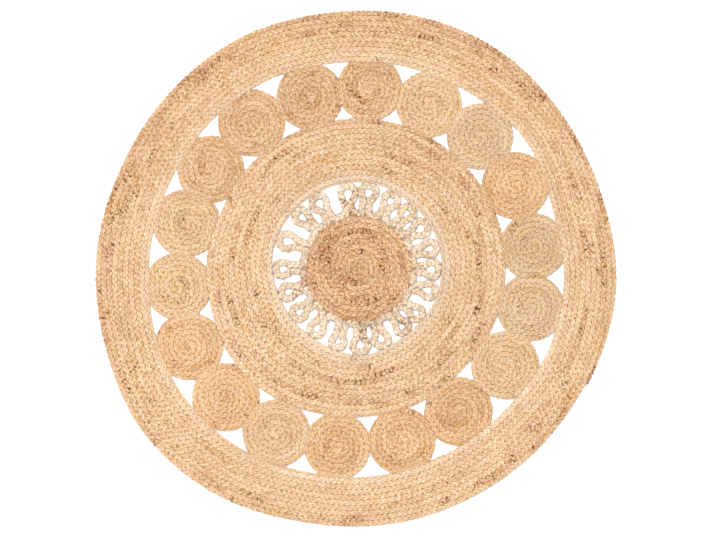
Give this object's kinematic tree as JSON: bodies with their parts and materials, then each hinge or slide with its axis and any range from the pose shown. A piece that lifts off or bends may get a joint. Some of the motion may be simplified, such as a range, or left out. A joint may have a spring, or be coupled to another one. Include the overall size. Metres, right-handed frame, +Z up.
{
  "type": "round braided jute rug",
  "caption": "Round flat rug of sewn jute braid: an outer band, a ring of small coils, an inner band, an open looped braid and a centre coil.",
  "frame": {"origin": "on the floor, under the middle of the rug's bounding box", "axes": "+Z up through the rug, from the flat underside to the ribbed top; +Y towards the upper side of the rug as pictured from straight above"},
  "size_m": [1.2054, 1.1954, 0.008],
  "materials": {
    "outer_band_jute": "matte",
    "inner_band_jute": "matte",
    "looped_braid_jute": "matte",
    "centre_coil_jute": "matte",
    "coil_01_jute": "matte",
    "coil_02_jute": "matte",
    "coil_03_jute": "matte",
    "coil_04_jute": "matte",
    "coil_05_jute": "matte",
    "coil_06_jute": "matte",
    "coil_07_jute": "matte",
    "coil_08_jute": "matte",
    "coil_09_jute": "matte",
    "coil_10_jute": "matte",
    "coil_11_jute": "matte",
    "coil_12_jute": "matte",
    "coil_13_jute": "matte",
    "coil_14_jute": "matte",
    "coil_15_jute": "matte",
    "coil_16_jute": "matte",
    "coil_17_jute": "matte",
    "coil_18_jute": "matte"
  },
  "bodies": {
    "root": {"outer_band": "outer_band_jute", "inner_band": "inner_band_jute", "looped_braid": "looped_braid_jute", "centre_coil": "centre_coil_jute", "coil_01": "coil_01_jute", "coil_02": "coil_02_jute", "coil_03": "coil_03_jute", "coil_04": "coil_04_jute", "coil_05": "coil_05_jute", "coil_06": "coil_06_jute", "coil_07": "coil_07_jute", "coil_08": "coil_08_jute", "coil_09": "coil_09_jute", "coil_10": "coil_10_jute", "coil_11": "coil_11_jute", "coil_12": "coil_12_jute", "coil_13": "coil_13_jute", "coil_14": "coil_14_jute", "coil_15": "coil_15_jute", "coil_16": "coil_16_jute", "coil_17": "coil_17_jute", "coil_18": "coil_18_jute"}
  },
  "joints": []
}
